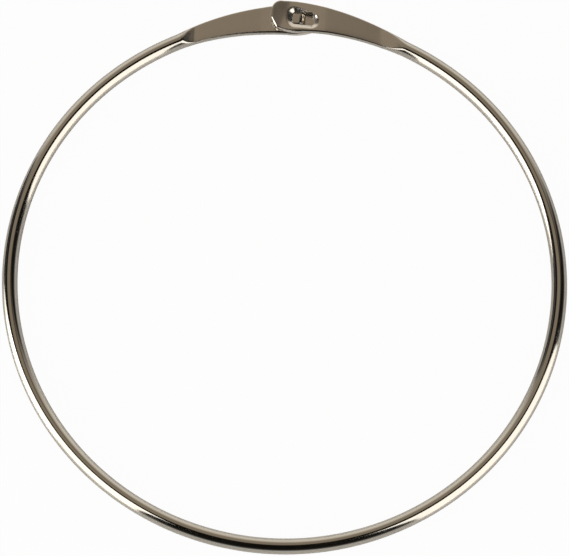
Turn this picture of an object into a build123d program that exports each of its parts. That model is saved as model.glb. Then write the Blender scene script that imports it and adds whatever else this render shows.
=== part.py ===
from build123d import *
import os
from math import atan2, cos, degrees, radians, sin, sqrt, tan

# Binder ring: one length of springy steel wire bent into a hoop.
# Its two ends are pressed flat and lap over each other at the top of the hoop,
# where a low hook lanced out of the under end catches in a dished slot of the upper end.
# Millimetres and degrees. The hoop's axis is +Z and the middle of the lap is on +Y.

# Hoop
ring_outer_diameter = 127.0
wire_diameter = 3.5

# Pressed ends: their flat, how far its two edges spread past the wire at the lap, the height
# of the oval that those round edges belong to, where and how softly the pressing starts, and
# the joggle that brings each flat above or below the other
plate_thickness = 1.5
seat_gap = 0.15
outer_spread = 3.0
inner_spread = 1.1
edge_height = 2.9
neck_angle = 25.2
neck_lead = 1.0
slot_end_ramp = 5.0
hook_end_ramp = 3.0
joggle_radius = 20.0
flat_margin = 0.6

# Noses: how far each one passes the middle of the lap, their common outline, and the slight
# upward bend of the upper one, which lets it ride over the hook when the ring is closed
slot_end_reach = 5.05
hook_end_reach = 6.0
nose_radius = 2.3
nose_flat = 2.0
bevel_run = 1.2
bevel_drop = 2.3
bevel_corner_radius = 0.7
nose_sweep = 5.6
nose_lift_angle = 8.0
nose_lift_radius = 6.0

# Hook: a tongue of the under end, joggled up into the slot, whose free end holds the slot's end
hook_width = 2.4
hook_thickness = 1.1
hook_rise = 1.05
hook_lean_angle = 66.0
hook_bend_radius = 0.2
hook_root = 2.6
hook_tip_reach = 0.05
hook_offset = 0.65
hook_corner_radius = 0.5
hook_edge_bevel = 0.25
lance_gap = 0.15
window_corner_radius = 0.5

# Slot: a hole with round corners in the upper end, with a dished rim above a straight land
slot_length = 5.2
slot_width = 3.1
slot_corner_radius = 0.7
slot_land = 0.95
dish_length = 7.4
dish_width = 4.7
dish_corner_radius = 2.1
dish_shift = 0.3
dish_rim_radius = 0.4

# One overrun for every cut that has to pass clear through
cut_overrun = 2.0

# How far along a pressed end each section stands, from its neck to the middle of the lap,
# and how much of its final spread the wire has there
station_shares = (0.0, 0.07, 0.2, 0.4, 0.6, 0.8, 1.0)
spread_shares = (0.0, 0.05, 0.18, 0.39, 0.6, 0.81, 1.0)

# Worked out from the sizes above
wire_radius = wire_diameter / 2
hoop_radius = ring_outer_diameter / 2 - wire_radius
plate_half = plate_thickness / 2
plate_shift = (outer_spread - inner_spread) / 2
lap_rise = plate_half + seat_gap / 2
press_start = hoop_radius * sin(radians(neck_angle)) - neck_lead
lap_radius = hoop_radius + hook_offset
hook_lean = radians(hook_lean_angle)
hook_half = hook_thickness / 2


def wire_directions(angle):
    """Outward and towards the tip, on the wire at an angle from the middle of the lap."""
    turn = radians(angle)
    return Vector(sin(turn), cos(turn), 0), Vector(-cos(turn), sin(turn), 0)


def swollen_section(angle, spread_share, height):
    """Oval section of the wire, spread sideways, at an angle from the middle of the lap."""
    half_width = wire_radius + (outer_spread + inner_spread) / 2 * spread_share
    half_height = wire_radius + (edge_height / 2 - wire_radius) * spread_share
    radius = hoop_radius + plate_shift * spread_share
    outward, towards_tip = wire_directions(angle)
    centre = outward * radius + Vector(0, 0, height)
    plane = Plane(origin=centre, x_dir=outward, z_dir=towards_tip)
    return plane * Ellipse(half_width, half_height)


def hoop():
    """The round wire, from the neck of one pressed end round to the neck of the other."""
    round_section = swollen_section(neck_angle, 0, 0)
    return revolve(round_section, axis=-Axis.Z, revolution_arc=360 - 2 * neck_angle)


def joggle_ends(ramp):
    """How far right of the lap's middle the joggle starts and ends: past the noses and the dish."""
    dish_end = slot_near_end() + (slot_length + dish_length) / 2
    flat_end = max(slot_end_reach, hook_end_reach, dish_end) + flat_margin
    start = press_start - ramp
    slope = atan2(lap_rise, start - flat_end)
    return start, flat_end + joggle_radius * tan(slope / 2)


def lift_corner():
    """Where the upper nose bends upwards: left of the dish, with its round bend clear of it."""
    dish_start = slot_near_end() + (slot_length - dish_length) / 2
    return dish_start - flat_margin - nose_lift_radius * tan(radians(nose_lift_angle) / 2)


def nose_lift(distance):
    """How high the upper nose has risen at a distance left of the lap's middle."""
    return (distance + lift_corner()) * tan(radians(nose_lift_angle))


def press_tool(side, ramp, rise, lifted):
    """One press tool, above (side 1) or below (side -1): a sole with a joggle and a round run-out."""
    clear = side * (wire_radius + cut_overrun)
    joggle_start, joggle_end = joggle_ends(ramp)
    run_out_start = (joggle_start, side * plate_half)
    flat_height = side * plate_half + rise
    corners, radii = [run_out_start, (joggle_end, flat_height)], [joggle_radius]
    if lifted:
        far = (-press_start, flat_height + nose_lift(press_start))
        corners += [(lift_corner(), flat_height), far]
        radii += [nose_lift_radius]
    else:
        far = (-press_start, flat_height)
        corners += [far]
    sole = FilletPolyline(*corners, radius=radii)
    slope = (run_out_start[0] - joggle_end, run_out_start[1] - flat_height)
    bite = (press_start, side * wire_radius)
    run_out = TangentArc(run_out_start, bite, tangent=slope)
    sides = Polyline(bite, (press_start, clear), (-press_start, clear), far)
    plane = Plane(origin=(0, hoop_radius, 0), x_dir=(1, 0, 0), z_dir=(0, -1, 0))
    return extrude(plane * make_face(sole + run_out + sides), amount=hoop_radius / 2, both=True)


def nose_blank(reach):
    """The space inside the nose's sheared outline, open towards the neck."""
    outer_edge = hoop_radius + wire_radius + outer_spread
    inner_edge = hoop_radius - wire_radius - inner_spread
    far = hoop_radius
    crown = (nose_radius - reach, outer_edge)
    shoulder = (-reach, outer_edge - nose_radius)
    chin = (-reach, shoulder[1] - nose_flat)
    heel = (chin[0] + bevel_run, chin[1] - bevel_drop)
    sole = (heel[0] + nose_sweep, inner_edge)
    round_crown = TangentArc(crown, shoulder, tangent=(-1, 0))
    bevel = FilletPolyline(shoulder, chin, heel, radius=bevel_corner_radius)
    sweep_in = TangentArc(sole, heel, tangent=(-1, 0))
    around = Polyline(
        sole,
        (sole[0], inner_edge - cut_overrun),
        (far, inner_edge - hoop_radius / 2),
        (far, outer_edge + cut_overrun),
        (crown[0], outer_edge + cut_overrun),
        crown,
    )
    outline = make_face(round_crown + bevel + sweep_in + around)
    return extrude(outline, amount=wire_diameter, both=True)


def pressed_end(ramp, reach, rise, lifted):
    """One end of the wire, swollen, pressed flat between two tools and sheared to its nose."""
    last_angle = -degrees(atan2(reach + cut_overrun, hoop_radius))
    angles = [neck_angle * (1 - share) for share in station_shares] + [last_angle]
    spreads = spread_shares + spread_shares[-1:]
    start, end = joggle_ends(ramp)
    done = [(start - hoop_radius * sin(radians(angle))) / (start - end) for angle in angles]
    heights = [rise * min(1, max(0, share)) for share in done]
    if lifted:
        heights[-1] += nose_lift(reach + cut_overrun)
    body = loft([swollen_section(*station) for station in zip(angles, spreads, heights)])
    flattened = body - press_tool(1, ramp, rise, lifted) - press_tool(-1, ramp, rise, lifted)
    return flattened & nose_blank(reach)


def stem_middle(height):
    """How far right of the lap's middle the hook's stem stands, at a height in its plate."""
    at_root = hook_root - hook_half / sin(hook_lean) + plate_half / tan(hook_lean)
    return at_root - height / tan(hook_lean)


def hook_path():
    """Middle line of the tongue: flat in the plate, up the leaning stem and level to its free end."""
    bend = hook_bend_radius + hook_half
    top = plate_half + hook_rise - hook_half
    start = stem_middle(0) + bend * tan(hook_lean / 2) + hook_thickness
    plane = Plane(origin=(0, lap_radius, 0), x_dir=(1, 0, 0), z_dir=(0, -1, 0))
    corners = [(start, 0), (stem_middle(0), 0), (stem_middle(top), top), (-hook_tip_reach, top)]
    return plane * FilletPolyline(*corners, radius=bend)


def hook_tongue():
    """The bent tongue, with round corners at its tip and its upper edges broken."""
    path = hook_path()
    section_plane = Plane(origin=path @ 0, x_dir=(0, 1, 0), z_dir=path % 0)
    tongue = sweep(section_plane * Rectangle(hook_width, hook_thickness), path=path)
    tip_corners = tongue.edges().filter_by(Axis.Z).group_by(Axis.X)[0]
    tongue = fillet(tip_corners, radius=hook_corner_radius)
    top_face = tongue.faces().filter_by(Axis.Z).sort_by(Axis.Z)[-1]
    return chamfer(top_face.edges().sort_by(Axis.X)[0], length=hook_edge_bevel)


def lance_window():
    """The opening that the tongue was bent out of, as long as the tongue laid flat."""
    path = hook_path()
    right = (path @ 0).X - hook_thickness
    length = path.length - hook_thickness + lance_gap
    outline = RectangleRounded(length, hook_width + 2 * lance_gap, window_corner_radius)
    centre = Pos(right - length / 2, lap_radius, 0)
    return extrude(centre * outline, amount=wire_diameter, both=True)


def slot_near_end():
    """Where the slot ends at the hook's free end, clear of that end's two corners."""
    past_corner = max(0, hook_width / 2 - slot_width / 2 + slot_corner_radius)
    corner_depth = slot_corner_radius - sqrt(slot_corner_radius**2 - past_corner**2)
    return -hook_tip_reach - corner_depth - seat_gap


def slot_cutter():
    """The slot's straight hole and its dished rim, which is shifted towards the hoop's inside."""
    middle = slot_near_end() + slot_length / 2
    centre = Rot(0, 0, -degrees(atan2(middle, lap_radius))) * Pos(0, lap_radius, 0)
    slot = RectangleRounded(slot_length, slot_width, slot_corner_radius)
    rim = RectangleRounded(dish_length, dish_width, dish_corner_radius)
    hole = extrude(centre * slot, amount=wire_diameter, both=True)
    rim_place = Pos(0, -dish_shift, plate_half)
    floor_place = Pos(0, 0, slot_land - plate_half)
    return hole + loft([centre * rim_place * rim, centre * floor_place * slot])


def slot_end():
    """The pressed end that lies on top, with the slot and its soft rim."""
    plain = pressed_end(slot_end_ramp, slot_end_reach, lap_rise, True)
    end = plain - Pos(0, 0, lap_rise) * slot_cutter()
    top_face = end.faces().filter_by(Axis.Z).sort_by(Axis.Z)[-1]
    return fillet(top_face.inner_wires()[0].edges(), radius=dish_rim_radius)


def hook_end():
    """The pressed end that lies underneath, with the hook and the window it was bent out of."""
    plain = mirror(pressed_end(hook_end_ramp, hook_end_reach, -lap_rise, False), about=Plane.YZ)
    return plain - Pos(0, 0, -lap_rise) * lance_window() + Pos(0, 0, -lap_rise) * hook_tongue()


# The hoop and its two pressed ends are one wire
binder_ring = hoop() + slot_end() + hook_end()

os.makedirs("parts", exist_ok=True)
export_step(binder_ring, "parts/binder_ring.step")
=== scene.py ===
import bmesh
import bpy
import numpy as np
from mathutils import Matrix, Vector


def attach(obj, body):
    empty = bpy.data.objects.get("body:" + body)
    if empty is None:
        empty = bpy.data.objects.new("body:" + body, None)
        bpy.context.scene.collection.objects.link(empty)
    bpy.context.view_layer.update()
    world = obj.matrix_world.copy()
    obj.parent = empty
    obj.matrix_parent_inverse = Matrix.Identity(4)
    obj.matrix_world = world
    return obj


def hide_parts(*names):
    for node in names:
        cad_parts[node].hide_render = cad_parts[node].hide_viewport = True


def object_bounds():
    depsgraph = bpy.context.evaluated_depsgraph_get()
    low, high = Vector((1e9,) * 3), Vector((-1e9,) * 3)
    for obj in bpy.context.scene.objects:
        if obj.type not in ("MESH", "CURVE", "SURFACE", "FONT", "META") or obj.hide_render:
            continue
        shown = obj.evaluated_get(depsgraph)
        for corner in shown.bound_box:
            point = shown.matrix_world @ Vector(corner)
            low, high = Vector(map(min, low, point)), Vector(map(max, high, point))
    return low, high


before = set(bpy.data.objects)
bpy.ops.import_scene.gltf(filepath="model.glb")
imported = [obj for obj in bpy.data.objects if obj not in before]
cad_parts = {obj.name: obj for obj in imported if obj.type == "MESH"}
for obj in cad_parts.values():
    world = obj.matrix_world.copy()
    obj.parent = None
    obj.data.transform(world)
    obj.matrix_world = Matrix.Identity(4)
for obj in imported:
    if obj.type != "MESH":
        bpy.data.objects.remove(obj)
cad_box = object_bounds()


# Spring wire
# One length of round steel wire bent into a hoop, bright nickel plated. Its two ends are swollen
# sideways and pressed flat, one joggled up and one down, so that they lap at the top of the hoop.
# All sizes are in millimetres; the mesh is made in metres.
mm = 0.001
wire_radius = 1.75
hoop_radius = 61.75
clasp_radius = 62.4
outer_spread, inner_spread = 3.0, 1.1
edge_half_height = 1.45
plate_half = 0.75
lap_rise = 0.825
neck_angle = np.radians(25.2)
press_start = hoop_radius * np.sin(neck_angle) - 1.0
flat_end = 6.61
joggle_bend, joggle_soft = 0.6, 0.03
upper_ramp, under_ramp = 5.0, 3.0
nose_lift, nose_lift_start, nose_lift_soft = np.tan(np.radians(6.3)), 1.9, 0.6
nose_lift_turn = np.radians(20)
outer_edge = hoop_radius + wire_radius + outer_spread
inner_edge = hoop_radius - wire_radius - inner_spread


def spread(angle):
    """Share of the final sideways spread at an angle from the lap: starts softly at the neck,
    grows evenly, and stays full from the middle of the lap on."""
    soft_start, soft_end = 0.03, 0.04
    share = np.clip(1 - angle / neck_angle, 0, None)
    grown = (1 + soft_start) * share**2 / (share + soft_start)
    capped = 0.5 * (grown + 1 - np.sqrt((grown - 1) ** 2 + soft_end**2))
    return capped + 0.25 * soft_end**2 * np.minimum(grown, 1)


def lengths(line):
    """Length run along a polyline at each of its points."""
    return np.concatenate([[0], np.cumsum(np.hypot(*np.diff(line, axis=0).T))])


def along(line, reached):
    """Points of a polyline at given lengths along it."""
    run = lengths(line)
    return np.stack([np.interp(reached, run, line[:, i]) for i in (0, 1)], axis=1)


def arc(centre, radius, start, end, count):
    """Points on a circle from one angle to another, in degrees from +X."""
    turn = np.radians(np.linspace(start, end, count))
    return np.stack([centre[0] + radius * np.cos(turn), centre[1] + radius * np.sin(turn)], axis=1)


nose_radius, nose_flat, nose_sweep = 2.3, 2.0, 5.6
bevel_run, bevel_drop, bevel_corner = 1.2, 2.3, 0.7
edge_points, arc_points, corner_points, hole_points = 300, 90, 24, 12


def nose_lines(reach):
    """The outer and the inner edge of a pressed end in plan, from the neck to the middle of its nose:
    the spread edges, then a round crown outside and a long sweep with a bevel inside."""
    lead = 0.4
    crown = np.array([nose_radius - reach, outer_edge - nose_radius])
    shoulder = np.array([-reach, outer_edge - nose_radius])
    chin = shoulder - [0, nose_flat]
    heel = chin + [bevel_run, -bevel_drop]
    sole = np.array([heel[0] + nose_sweep, inner_edge])
    tip = (shoulder + chin) / 2
    rise = heel[1] - sole[1]
    sweep_radius = (nose_sweep**2 + rise**2) / (2 * rise)
    sweep_turn = np.degrees(np.arcsin(nose_sweep / sweep_radius))
    turn = np.linspace(neck_angle, np.arcsin((crown[0] + lead) / outer_edge), edge_points)
    reached = hoop_radius + wire_radius + outer_spread * spread(turn)
    outer = np.stack([reached * np.sin(turn), reached * np.cos(turn)], axis=1)
    outer = np.concatenate([outer, arc(crown, nose_radius, 90, 180, arc_points), [tip]])
    turn = np.linspace(neck_angle, np.arcsin((sole[0] + lead) / inner_edge), edge_points)
    reached = hoop_radius - wire_radius - inner_spread * spread(turn)
    inner = np.stack([reached * np.sin(turn), reached * np.cos(turn)], axis=1)
    sweep = arc(sole + [0, sweep_radius], sweep_radius, -90, -90 - sweep_turn, arc_points)
    back = (heel - chin) / np.hypot(*(heel - chin))
    bend = np.arccos(np.clip(-back[1], -1, 1))
    middle = chin + [bevel_corner, bevel_corner * np.tan(bend / 2)]
    corner = arc(middle, bevel_corner, 180 + np.degrees(bend), 180, corner_points)
    inner = np.concatenate([inner, sweep, corner, [tip]])
    return outer, inner


def hole_side(hole, side, count):
    """Half of a hole with round corners, from the middle of its right end to that of its left end,
    spaced evenly along its edge; side 1 is the half away from the hoop's middle."""
    long, wide, round_off = hole["half_length"], hole["half_width"], hole["corner"]
    right = arc((long - round_off, wide - round_off), round_off, 0, 90, hole_points)
    left = arc((round_off - long, wide - round_off), round_off, 90, 180, hole_points)
    line = np.concatenate([[(long, 0)], right, left, [(-long, 0)]])
    line = along(line, np.linspace(0, lengths(line)[-1], count)) * [1, side]
    axis, outward = np.array(hole["axis"]), np.array(hole["outward"])
    return np.array(hole["centre"]) + line[:, :1] * axis + line[:, 1:] * outward


def rounded_distance(across, half_length, half_width, corner):
    """Signed distance in plan to a rectangle with round corners, below zero inside."""
    q = np.abs(across) - [half_length - corner, half_width - corner]
    outside = np.hypot(np.maximum(q[..., 0], 0), np.maximum(q[..., 1], 0))
    return outside + np.minimum(np.maximum(q[..., 0], q[..., 1]), 0) - corner


def joggle(place, ramp, rise, lift):
    """Height of a pressed end's middle: level at the neck, a straight slope, level again at the lap,
    and a last soft bend that lifts the nose, most at its outer corner."""
    x, outward = place[..., 0], place[..., 1] - clasp_radius
    start, end = press_start - ramp, flat_end + joggle_bend
    done = (start - x) / (start - end)
    eased = np.sqrt(done**2 + joggle_soft**2) - np.sqrt((1 - done) ** 2 + joggle_soft**2)
    past = np.sin(nose_lift_turn) * outward - np.cos(nose_lift_turn) * x - nose_lift_start
    return rise * 0.5 * (eased + 1) + lift * 0.5 * (past + np.sqrt(past**2 + nose_lift_soft**2))


def press_half(x, ramp):
    """Half of the thickness that the press tools leave: the plate's, then a round run-out to the wire."""
    return plate_half + (wire_radius - plate_half) * (np.maximum(x - press_start + ramp, 0) / ramp) ** 2


def flattened(oval, half, crisp):
    """An oval's height under a press sole: the oval where it is lower, the sole where it is higher,
    and a rounded meeting line between the two, which is tighter where crisp is higher."""
    reach = oval / half
    return half * reach / (1 + reach**crisp) ** (1 / crisp)


def dish_slope(place, hole, dish):
    """How far down the dish each point lies, 0 at its rim and 1 at the slot's edge, from its distances to
    the two, and how far the point is along the slot. The rim is shifted inwards, leans against the slot
    and narrows to the right."""
    rel = place - np.array(hole["centre"])
    length_along, width_across = rel @ np.array(hole["axis"]), rel @ np.array(hole["outward"])
    local = np.stack([length_along, width_across], axis=-1)
    to_slot = rounded_distance(local, hole["half_length"], hole["half_width"], hole["corner"])
    leaning = width_across + dish["shift"] + dish["lean"] * length_along
    tapered = np.stack([length_along, leaning / (1 - dish["narrowing"] * length_along)], axis=-1)
    to_rim = rounded_distance(tapered, dish["half_length"], dish["half_width"], dish["corner"])
    return -to_rim / np.maximum(to_slot - to_rim, 1e-6), length_along


edge_radius, edge_undercut = 0.3, 0.28
arm_rows, hole_rows, bridge_rows, fan_rows = 84, 72, 12, 44
wall_rows, hoop_rows = 3, 300
hoop_crisp = 10
lateral = 0.5 * (1 - np.cos(np.pi * np.linspace(0, 1, 30)))


def round_loop(upper, lower, along_wire, flatness):
    """Rows of points from the spine over the top to the edge, straight down its wall and back underneath,
    as x, y, z, run along the wire and share of pressing."""
    drop = np.linspace(0, 1, wall_rows + 2)[1:-1, None]
    wall = upper[:, -1:] + drop * (lower[:, -1:] - upper[:, -1:])
    loop = np.concatenate([upper, wall, lower[:, ::-1]], axis=1)
    run = np.repeat(along_wire[:, None], loop.shape[1], 1)
    wall_flatness = np.repeat(flatness[:, -1:], wall_rows, 1)
    flat = np.concatenate([flatness, wall_flatness, flatness[:, ::-1]], axis=1)
    return np.concatenate([loop, run[..., None], flat[..., None]], axis=-1)


def end_plan(reach, hole):
    """Plan of a pressed end: the points of its spine and the points of its edge opposite to them, outside
    and inside. The spine runs from the neck to the hole, splits round the hole's two sides, and goes on to
    a point in the nose that the last rows fan out from."""
    right, left = hole_side(hole, 1, 2)
    focus = np.array([0.45 * left[0] - 0.55 * reach, left[1] + 0.1])
    turn = np.linspace(neck_angle, np.arctan2(*right), arm_rows)
    way = hoop_radius + (np.hypot(*right) - hoop_radius) * spread(turn) / spread(turn[-1])
    arm = way[:, None] * np.stack([np.sin(turn), np.cos(turn)], axis=1)
    bridge = left + np.linspace(0, 1, bridge_rows + 1)[1:, None] * (focus - left)
    fan = np.repeat(focus[None], fan_rows, 0)
    opposite = np.array([right[0] + 0.9, left[0] - 0.5, focus[0] + 0.7])
    spines, borders = [], []
    for side, edge in zip((1, -1), nose_lines(reach)):
        spines.append(np.concatenate([arm, hole_side(hole, side, hole_rows)[1:], bridge, fan]))
        run = lengths(edge)
        arm_mark, hole_mark, bridge_mark = np.interp(-opposite, -edge[:, 0], run)
        angles = np.arctan2(edge[:, 0], edge[:, 1])
        stretch = (neck_angle - np.interp(arm_mark, run, angles)) / (neck_angle - turn[-1])
        arm_turn = neck_angle + (turn - neck_angle) * stretch
        arm_run = np.interp(-arm_turn, -angles[:edge_points], run[:edge_points])
        hole_run = np.linspace(arm_run[-1], hole_mark, hole_rows)[1:]
        bridge_run = np.linspace(hole_mark, bridge_mark, bridge_rows + 1)[1:]
        fan_run = np.linspace(bridge_mark, run[-1], fan_rows + 1)[1:]
        borders.append(along(edge, np.concatenate([arm_run, hole_run, bridge_run, fan_run])))
    return spines, borders


def pressed_end(reach, ramp, rise, lift, square, crisp, crown, hole, dish):
    """One pressed end as two grids, outside and inside of its spine. Each row runs from the spine to the
    edge; the heights come from the swollen oval, the press soles, the rounding of the sheared nose and the
    dish. square says how much fuller than an ellipse the oval is, crisp how tight the press line is and
    crown how far the flat rolls off towards it, each outside and inside."""
    spines, borders = end_plan(reach, hole)
    middle = (borders[0] + borders[1]) / 2
    across = borders[0] - borders[1]
    half = np.maximum(np.hypot(*across.T) / 2, 1e-6)
    station = np.arctan2(middle[:, 0], middle[:, 1])
    swollen = spread(station)[:, None]
    oval_height = wire_radius + (edge_half_height - wire_radius) * swollen
    along_wire = hoop_radius * (neck_angle - station)
    crown_x, sweep_x = nose_radius - reach, bevel_run + nose_sweep - reach
    shear_from, shear_to = (crown_x + 1.2, sweep_x + 0.6), (crown_x - 0.8, sweep_x - 2.6)
    grids = []
    for side, (spine, border, begin, full) in enumerate(zip(spines, borders, shear_from, shear_to)):
        place = spine[:, None] + lateral[None, :, None] * (border - spine)[:, None]
        width = np.hypot(*(border - spine).T)[:, None]
        share = np.einsum("kji,ki->kj", place - middle[:, None], across) / (2 * half**2)[:, None]
        fullness = 2 + square[side] * swollen
        oval = oval_height * np.clip(1 - np.abs(share) ** fullness, 0, 1) ** (1 / fullness)
        soles = press_half(place[..., 0], ramp) - crown[side] * np.clip(np.abs(share), 0, 1) ** 4
        sheared = np.clip((begin - border[:, 0]) / (begin - full), 0, 1)
        sheared = (sheared**2 * (3 - 2 * sheared))[:, None]
        fallen = np.maximum(edge_radius - (1 - lateral) * width, 0)
        round_off = plate_half - edge_radius + np.sqrt(edge_radius**2 - fallen**2)
        thick = (1 - sheared) * flattened(oval, soles, crisp[side]) + sheared * round_off
        level = joggle(place, ramp, rise, lift)
        top, bottom = level + thick, level - thick
        flatness = np.maximum(np.clip((oval / soles - 0.85) / 0.3, 0, 1), sheared)
        if dish:
            slope, length_along = dish_slope(place, hole, dish)
            top = top - dish["depth"] * 0.5 * (slope + np.sqrt(slope**2 + dish["soft"] ** 2))
            # Towards the dish's right end the share of pressing is raised above one. This makes the slope
            # rougher, which is its finish, and paler in tone, which is a painted sheen standing in for the
            # pale light that slope catches.
            right_end = np.clip(length_along - dish["painted_sheen_from"], 0, 1)
            flatness = flatness + dish["painted_sheen_and_roughness"] * np.clip(slope, 0, 1) * right_end
        inward = (spine - border) / np.maximum(width, 1e-6)
        bevelled = np.clip((bevel_run - reach + 0.3 - border[:, 0]) / 0.6, 0, 1)[:, None]
        tucked = place + edge_undercut * (sheared * bevelled * lateral**4)[..., None] * inward[:, None]
        upper = np.concatenate([place, top[..., None]], axis=-1)
        lower = np.concatenate([tucked, bottom[..., None]], axis=-1)
        grids.append(round_loop(upper, lower, along_wire, flatness))
    return grids


def hoop_side(side):
    """The round wire between the two necks: a circle carried round the hoop's circle, one half of it on
    each side of the wire's crown line. The press soles are already clear of it there."""
    turn = np.linspace(neck_angle, 2 * np.pi - neck_angle, hoop_rows)[1:-1]
    outward = np.stack([np.sin(turn), np.cos(turn)], axis=1)
    place = outward[:, None] * (hoop_radius + side * wire_radius * lateral)[None, :, None]
    fold = np.minimum(np.minimum(turn, 2 * np.pi - turn), np.pi / 2)
    soles = press_half(hoop_radius * np.sin(fold), np.where(turn < np.pi, upper_ramp, under_ramp))[:, None]
    thick = flattened(wire_radius * np.sqrt(1 - lateral**2)[None], soles, hoop_crisp)
    upper = np.concatenate([place, thick[..., None]], axis=-1)
    lower = np.concatenate([place, -thick[..., None]], axis=-1)
    along_wire = hoop_radius * (neck_angle - turn)
    return round_loop(upper, lower, along_wire, np.zeros_like(thick))


def strip_faces(first, stations, columns):
    """Quads between neighbouring points of a grid whose points are numbered from first."""
    i, j = np.meshgrid(np.arange(stations - 1), np.arange(columns - 1), indexing="ij")
    corner = first + i * columns + j
    return np.stack([corner, corner + columns, corner + columns + 1, corner + 1], axis=-1).reshape(-1, 4)


slot_turn, slot_lean = 0.03694, 0.08
slot = {
    "centre": (clasp_radius * np.sin(slot_turn), clasp_radius * np.cos(slot_turn)),
    "axis": (np.cos(slot_lean), -np.sin(slot_lean)),
    "outward": (np.sin(slot_lean), np.cos(slot_lean)),
    "half_length": 2.6, "half_width": 1.55, "corner": 0.7,
}
# The dish's last two keys make its right end rougher and paint it paler; the paler tone there is painted
# sheen.
slot_dish = {
    "half_length": 3.7, "half_width": 2.2, "corner": 2.0, "shift": 0.3, "lean": 0.1, "narrowing": 0.07,
    "depth": 0.55, "soft": 0.25, "painted_sheen_and_roughness": 1.2, "painted_sheen_from": 1.6,
}
window = {
    "centre": (-1.014, clasp_radius), "axis": (1, 0), "outward": (0, 1),
    "half_length": 1.805, "half_width": 1.35, "corner": 0.5,
}
upper_grids = pressed_end(
    reach=5.05, ramp=upper_ramp, rise=lap_rise, lift=nose_lift,
    square=(1.6, 0), crisp=(10, 18), crown=(0, 0.09), hole=slot, dish=slot_dish)
under_grids = pressed_end(
    reach=6.0, ramp=under_ramp, rise=-lap_rise, lift=0,
    square=(1.6, 0), crisp=(10, 18), crown=(0, 0.03), hole=window, dish=None)
hole_stations = np.arange(arm_rows - 1, arm_rows + hole_rows - 2)
points, faces = [], []
first = 0
for side, upper, under in zip((1, -1), upper_grids, under_grids):
    grid = np.concatenate([upper[::-1], hoop_side(side), under * [-1, 1, 1, -1, 1]])
    stations, columns = grid.shape[:2]
    faces.append(strip_faces(first, stations, columns))
    for station in (len(upper) - 1 - hole_stations, stations - len(under) + hole_stations + 1):
        foot = first + station * columns
        faces.append(np.stack([foot, foot - columns, foot - 1, foot + columns - 1], axis=-1))
    points.append(grid.reshape(-1, 5))
    first += stations * columns


# Hook
# A tongue of the under end, lanced out of its window and joggled up into the slot, so that its free
# end on the left holds the end of the slot. It is the same plated wire.
hook_half_width, hook_half_thickness = 1.2, 0.55
hook_corner, hook_edge = 0.5, 0.12
hook_lean, hook_bend = 66, 0.75
hook_root_x, hook_foot_x, hook_head_x, hook_tip_x = 3.92, 2.332, 1.775, -0.26
hook_rise = 1.25
hook_pressed = 0.6
bend_points, stem_points, tip_points, round_points = 20, 70, 14, 7


def hook_line():
    """Middle line of the tongue in x and z: level in the plate, an arc up into the leaning stem, and
    an arc back to level in the slot, ending at the tip. Also the length left to the tip."""
    tangent = hook_bend * np.tan(np.radians(hook_lean / 2))
    low = arc((hook_foot_x + tangent, hook_bend), hook_bend, -90, -90 - hook_lean, bend_points)
    high = arc((hook_head_x - tangent, hook_rise - hook_bend), hook_bend, 90 - hook_lean, 90, bend_points)
    line = np.concatenate([[(hook_root_x, 0)], low, high, [(hook_tip_x, hook_rise)]])
    end = lengths(line)[-1]
    body = np.linspace(0, end - hook_corner, stem_points)
    tip = end - hook_corner * (1 - np.sin(np.linspace(0, np.pi / 2, tip_points)))[1:]
    reached = np.concatenate([body, tip])
    return along(line, reached), end - reached


def hook_grid():
    """A rectangle with round corners carried along the tongue's middle line. Near the tip its width
    and thickness draw in on quarter circles, so that the tip is rounded in plan and in section."""
    line, left = hook_line()
    heading = np.gradient(line, axis=0)
    heading /= np.hypot(*heading.T)[:, None]
    normal = np.stack([heading[:, 1], -heading[:, 0]], axis=1)
    half_width, half_thickness = (
        (size - edge + np.sqrt(edge**2 - np.maximum(edge - left, 0) ** 2))[:, None]
        for size, edge in ((hook_half_width, hook_corner), (hook_half_thickness, hook_edge)))
    turn = np.radians(np.linspace(0, 90, round_points))
    around = np.concatenate([turn, turn + np.pi / 2, turn + np.pi, turn + 3 * np.pi / 2])
    sign_w = np.repeat([1, -1, -1, 1], round_points)
    sign_t = np.repeat([1, 1, -1, -1], round_points)
    wide = sign_w * (half_width - hook_edge) + hook_edge * np.cos(around)
    thick = sign_t * np.maximum(half_thickness - hook_edge, 0)
    thick = thick + np.minimum(half_thickness, hook_edge) * np.sin(around)
    x = line[:, :1] + thick * normal[:, :1] + slot_lean * wide
    z = line[:, 1:] + thick * normal[:, 1:] - lap_rise
    run = np.repeat(left[:, None], x.shape[1], 1)
    return np.stack([x, clasp_radius + wide, z, run, np.full_like(x, hook_pressed)], axis=-1)


hook = hook_grid()
hook = np.concatenate([hook, hook[:, :1]], axis=1)
faces.append(strip_faces(first, hook.shape[0], hook.shape[1]))
tip_ring = first + (hook.shape[0] - 1) * hook.shape[1] + np.arange(hook.shape[1] - 1)
points.append(hook.reshape(-1, 5))
points = np.concatenate(points)

mesh = bpy.data.meshes.new("binder_ring_wire")
mesh.from_pydata((points[:, :3] * mm).tolist(), [], np.concatenate(faces).tolist() + [tip_ring.tolist()])
run_layer = mesh.attributes.new("run", "FLOAT", "POINT")
run_layer.data.foreach_set("value", points[:, 3] * mm)
# The pressed share is the share of pressing, raised above one at the dish's right end for its roughness and
# painted sheen.
pressed_layer = mesh.attributes.new("pressed", "FLOAT", "POINT")
pressed_layer.data.foreach_set("value", points[:, 4])
shell = bmesh.new()
shell.from_mesh(mesh)
bmesh.ops.remove_doubles(shell, verts=shell.verts, dist=0.001 * mm)
bmesh.ops.dissolve_degenerate(shell, edges=shell.edges, dist=0.0005 * mm)
bmesh.ops.recalc_face_normals(shell, faces=shell.faces)
shell.to_mesh(mesh)
shell.free()
mesh.polygons.foreach_set("use_smooth", np.ones(len(mesh.polygons), bool))
mesh.set_sharp_from_angle(angle=np.radians(38))
ring = bpy.data.objects.new("binder_ring_wire", mesh)
bpy.context.collection.objects.link(ring)

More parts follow.
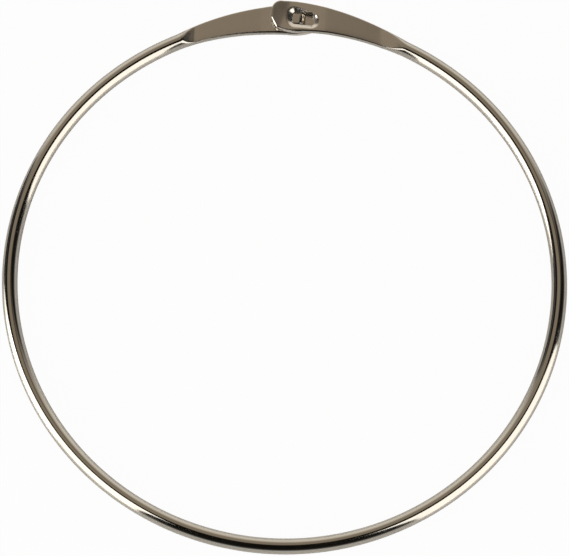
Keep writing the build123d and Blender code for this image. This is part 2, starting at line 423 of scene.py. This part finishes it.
plating = bpy.data.materials.new("nickel_plated_wire")
plating.use_nodes = True
nodes, links = plating.node_tree.nodes, plating.node_tree.links
shader = nodes["Principled BSDF"]
shader.inputs["Metallic"].default_value = 1.0
place = nodes.new("ShaderNodeTexCoord")
pressed = nodes.new("ShaderNodeAttribute")
pressed.attribute_name = "pressed"
run = nodes.new("ShaderNodeAttribute")
run.attribute_name = "run"


def maths(kind, first, second):
    """A math node on two values; each is a number or another node's output."""
    node = nodes.new("ShaderNodeMath")
    node.operation = kind
    for socket, value in zip(node.inputs, (first, second)):
        if isinstance(value, (int, float)):
            socket.default_value = value
        else:
            links.new(value, socket)
    return node.outputs[0]


def noise(vector, scale, detail):
    """Grey noise from 0 to 1 on the given coordinates, in metres."""
    node = nodes.new("ShaderNodeTexNoise")
    node.inputs["Scale"].default_value = scale
    node.inputs["Detail"].default_value = detail
    links.new(vector, node.inputs["Vector"])
    return node.outputs["Fac"]


def swing(value, amount):
    """A noise moved to swing about zero, by half the amount each way."""
    return maths("MULTIPLY", maths("SUBTRACT", value, 0.5), amount)


in_plan = nodes.new("ShaderNodeVectorMath")
in_plan.operation = "MULTIPLY"
in_plan.inputs[1].default_value = (1, 1, 0)
links.new(place.outputs["Object"], in_plan.inputs[0])
from_axis = nodes.new("ShaderNodeVectorMath")
from_axis.operation = "LENGTH"
links.new(in_plan.outputs[0], from_axis.inputs[0])
upward = nodes.new("ShaderNodeSeparateXYZ")
links.new(place.outputs["Object"], upward.inputs[0])
drawn = nodes.new("ShaderNodeCombineXYZ")
links.new(maths("MULTIPLY", run.outputs["Fac"], 0.04), drawn.inputs[0])
links.new(from_axis.outputs["Value"], drawn.inputs[1])
links.new(upward.outputs["Z"], drawn.inputs[2])
flat = pressed.outputs["Fac"]
grain = noise(place.outputs["Object"], 7000, 3)
lines = noise(drawn.outputs[0], 5200, 2)
clouds = noise(place.outputs["Object"], 420, 3)
satin = maths("ADD", maths("MULTIPLY", flat, 0.12), 0.09)
uneven = swing(grain, maths("MULTIPLY", flat, 0.1))
rough = maths("ADD", maths("ADD", satin, uneven), swing(clouds, 0.09))
links.new(maths("MAXIMUM", rough, 0.05), shader.inputs["Roughness"])
tone = nodes.new("ShaderNodeMix")
tone.data_type = "RGBA"
tone.inputs["A"].default_value = (0.61, 0.57, 0.5, 1)
tone.inputs["B"].default_value = (0.75, 0.69, 0.61, 1)
# The tone is paler where the pressed share is higher; at the dish's right end, where that share goes above
# one, the paler tone is painted sheen.
paler = maths("ADD", maths("MULTIPLY", flat, 0.9), swing(clouds, 0.5))
links.new(paler, tone.inputs["Factor"])
links.new(tone.outputs["Result"], shader.inputs["Base Color"])
relief = maths("ADD", maths("MULTIPLY", grain, flat), maths("MULTIPLY", lines, 0.35))
bump = nodes.new("ShaderNodeBump")
bump.inputs["Strength"].default_value = 0.25
bump.inputs["Distance"].default_value = 0.000005
links.new(relief, bump.inputs["Height"])
links.new(bump.outputs["Normal"], shader.inputs["Normal"])
ring.data.materials.append(plating)
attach(ring, "root")
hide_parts("binder_ring")


# Floor
# A plain white sheet that the ring lies on. The camera sees it as white paper with a faint shadow;
# the wire reflects it as the lamps light it, a little lifted.
floor_half, floor_z = 3, cad_box[0][2]
floor_corners = [(x * floor_half, y * floor_half, floor_z) for x, y in ((-1, -1), (1, -1), (1, 1), (-1, 1))]
floor_mesh = bpy.data.meshes.new("floor")
floor_mesh.from_pydata(floor_corners, [], [(0, 1, 2, 3)])
floor = bpy.data.objects.new("floor", floor_mesh)
bpy.context.collection.objects.link(floor)
paper = bpy.data.materials.new("white_paper")
paper.use_nodes = True
nodes, links = paper.node_tree.nodes, paper.node_tree.links
matt = nodes["Principled BSDF"]
matt.inputs["Base Color"].default_value = (0.82, 0.82, 0.82, 1)
matt.inputs["Roughness"].default_value = 0.3
bright = nodes.new("ShaderNodeEmission")
bright.inputs["Strength"].default_value = 1.0
path = nodes.new("ShaderNodeLightPath")
mirrored = nodes.new("ShaderNodeMath")
mirrored.operation = "MAXIMUM"
links.new(path.outputs["Is Glossy Ray"], mirrored.inputs[0])
links.new(path.outputs["Is Transmission Ray"], mirrored.inputs[1])
whiter = nodes.new("ShaderNodeMath")
whiter.operation = "MULTIPLY"
whiter.inputs[1].default_value = 0.96
links.new(path.outputs["Is Camera Ray"], whiter.inputs[0])
seen = nodes.new("ShaderNodeMath")
seen.operation = "MULTIPLY_ADD"
seen.inputs[1].default_value = 0.06
links.new(mirrored.outputs[0], seen.inputs[0])
links.new(whiter.outputs[0], seen.inputs[2])
blend = nodes.new("ShaderNodeMixShader")
links.new(seen.outputs[0], blend.inputs[0])
links.new(matt.outputs[0], blend.inputs[1])
links.new(bright.outputs[0], blend.inputs[2])
links.new(blend.outputs[0], nodes["Material Output"].inputs["Surface"])
floor_mesh.materials.append(paper)


# Studio
# A dark room with a pale wall behind that fades upwards, a brown patch of ceiling and a pale strip at the
# horizon. White soft boxes stand at the front left, with a brighter core, and more weakly at the front
# right, and a black flag stands behind the left one.
world = bpy.data.worlds.new("room")
bpy.context.scene.world = world
world.use_nodes = True
nodes, links = world.node_tree.nodes, world.node_tree.links
room = nodes["Background"]
way = nodes.new("ShaderNodeTexCoord").outputs["Generated"]
parts = nodes.new("ShaderNodeSeparateXYZ")
links.new(way, parts.inputs[0])


def height_ramp(stops):
    """Colour of the room by the height of the direction, as sine of its angle."""
    ramp = nodes.new("ShaderNodeValToRGB")
    ramp.color_ramp.interpolation = "B_SPLINE"
    while len(ramp.color_ramp.elements) < len(stops):
        ramp.color_ramp.elements.new(0.5)
    for element, (height, colour) in zip(ramp.color_ramp.elements, stops):
        element.position = height
        element.color = (*colour, 1)
    links.new(parts.outputs["Z"], ramp.inputs[0])
    return ramp.outputs["Color"]


def smooth_step(value, low, high):
    """A smooth step from 0 to 1 between two values."""
    step = nodes.new("ShaderNodeMapRange")
    step.interpolation_type = "SMOOTHSTEP"
    step.inputs["From Min"].default_value = low
    step.inputs["From Max"].default_value = high
    links.new(value, step.inputs["Value"])
    return step.outputs["Result"]


def facing(direction, axis):
    """Cosine of the angle between a direction and a fixed axis."""
    dot = nodes.new("ShaderNodeVectorMath")
    dot.operation = "DOT_PRODUCT"
    dot.inputs[1].default_value = axis
    links.new(direction, dot.inputs[0])
    return dot.outputs["Value"]


def mixed(kind, amount, first, second):
    """Two colours joined by a mix node of the given kind."""
    mix = nodes.new("ShaderNodeMix")
    mix.data_type = "RGBA"
    mix.blend_type = kind
    links.new(amount, mix.inputs["Factor"])
    links.new(first, mix.inputs["A"])
    links.new(second, mix.inputs["B"])
    return mix.outputs["Result"]


levelled = nodes.new("ShaderNodeVectorMath")
levelled.operation = "MULTIPLY"
levelled.inputs[1].default_value = (1, 1, 0)
links.new(way, levelled.inputs[0])
level_way = nodes.new("ShaderNodeVectorMath")
level_way.operation = "NORMALIZE"
links.new(levelled.outputs[0], level_way.inputs[0])
horizon = height_ramp([
    (0.0, (0.66, 0.66, 0.66)), (0.12, (0.5, 0.5, 0.5)),
    (0.3, (0.1, 0.1, 0.095)), (0.45, (0.008, 0.007, 0.006))])
wall = height_ramp([
    (0.0, (0.86, 0.84, 0.8)), (0.34, (0.92, 0.88, 0.81)), (0.6, (0.62, 0.57, 0.5)),
    (0.77, (0.36, 0.315, 0.26)), (0.89, (0.045, 0.04, 0.032)), (1.0, (0.02, 0.017, 0.013))])
brown = nodes.new("ShaderNodeRGB")
brown.outputs[0].default_value = (0.305, 0.26, 0.206, 1)
backward = facing(level_way.outputs[0], (0, 1, 0))
overhead = facing(way, (-0.198, 0.4255, 0.883))
walled = mixed("MIX", smooth_step(backward, 0.55, 0.8), horizon, wall)
roofed = mixed("LIGHTEN", smooth_step(overhead, 0.91, 0.948), walled, brown.outputs[0])
links.new(roofed, room.inputs["Color"])
white = nodes.new("ShaderNodeBackground")
white.inputs["Color"].default_value = (1, 1, 1, 1)
path = nodes.new("ShaderNodeLightPath")
pick = nodes.new("ShaderNodeMixShader")
links.new(path.outputs["Is Camera Ray"], pick.inputs[0])
links.new(room.outputs[0], pick.inputs[1])
links.new(white.outputs[0], pick.inputs[2])
links.new(pick.outputs[0], nodes["World Output"].inputs["Surface"])


def soft_box(name, corners, distance, colour, radiance):
    """A glowing cloth on a frame, or a dark one as a flag. Its corners are given as azimuth (degrees
    from the front, 90 at the right) and height angle; it stands across the middle of those directions
    at the given distance, and the camera looks through it."""
    az, el = np.radians(np.array(corners)).T
    ways = np.stack([np.sin(az) * np.cos(el), -np.cos(az) * np.cos(el), np.sin(el)], axis=1)
    middle = ways.mean(axis=0) / np.linalg.norm(ways.mean(axis=0))
    cloth_mesh = bpy.data.meshes.new(name)
    cloth_mesh.from_pydata((ways * (distance / (ways @ middle))[:, None]).tolist(), [], [(0, 1, 2, 3)])
    cloth = bpy.data.materials.new(name)
    cloth.use_nodes = True
    cloth.node_tree.nodes.clear()
    glow = cloth.node_tree.nodes.new("ShaderNodeEmission")
    glow.inputs["Color"].default_value = (*colour, 1)
    glow.inputs["Strength"].default_value = radiance
    end = cloth.node_tree.nodes.new("ShaderNodeOutputMaterial")
    cloth.node_tree.links.new(glow.outputs[0], end.inputs["Surface"])
    cloth_mesh.materials.append(cloth)
    box = bpy.data.objects.new(name, cloth_mesh)
    box.visible_camera = False
    bpy.context.collection.objects.link(box)


warm_white, black = (1.0, 0.985, 0.965), (0.02, 0.02, 0.02)
soft_box("front_left_box", [(257, -1), (323, -1), (320, 68), (268, 44)], 0.8, warm_white, 2.0)
soft_box("left_core", [(264, 2), (296, 2), (294, 38), (268, 34)], 0.78, warm_white, 5.0)
soft_box("front_right_box", [(38, -1), (92, -1), (102, 60), (37, 69)], 0.8, warm_white, 1.7)
soft_box("black_flag", [(230, -1), (257, -1), (260, 16), (232, 16)], 0.8, black, 1.0)


# Camera
# It looks down from the front at 72.5 degrees, with a long lens and a slight roll.
turn, height, roll = np.radians(0.5), np.radians(72.49), np.radians(2.42)
aim, distance = Vector((-0.066, -0.186, 0)) * mm, 0.68
back = Vector((-np.cos(height) * np.sin(turn), -np.cos(height) * np.cos(turn), np.sin(height)))
right = Vector((np.cos(turn), -np.sin(turn), 0))
up = Vector((np.sin(height) * np.sin(turn), np.sin(height) * np.cos(turn), np.cos(height)))
across = np.cos(roll) * right + np.sin(roll) * up
upright = -np.sin(roll) * right + np.cos(roll) * up
lens = bpy.data.cameras.new("camera")
lens.lens = 191.4
lens.sensor_width = 36
lens.clip_start, lens.clip_end = 0.05, 20
camera = bpy.data.objects.new("camera", lens)
turned = Matrix((across, upright, back)).transposed()
camera.matrix_world = Matrix.Translation(aim + back * distance) @ turned.to_4x4()
bpy.context.collection.objects.link(camera)
bpy.context.scene.camera = camera
bpy.context.scene.view_settings.view_transform = "Standard"
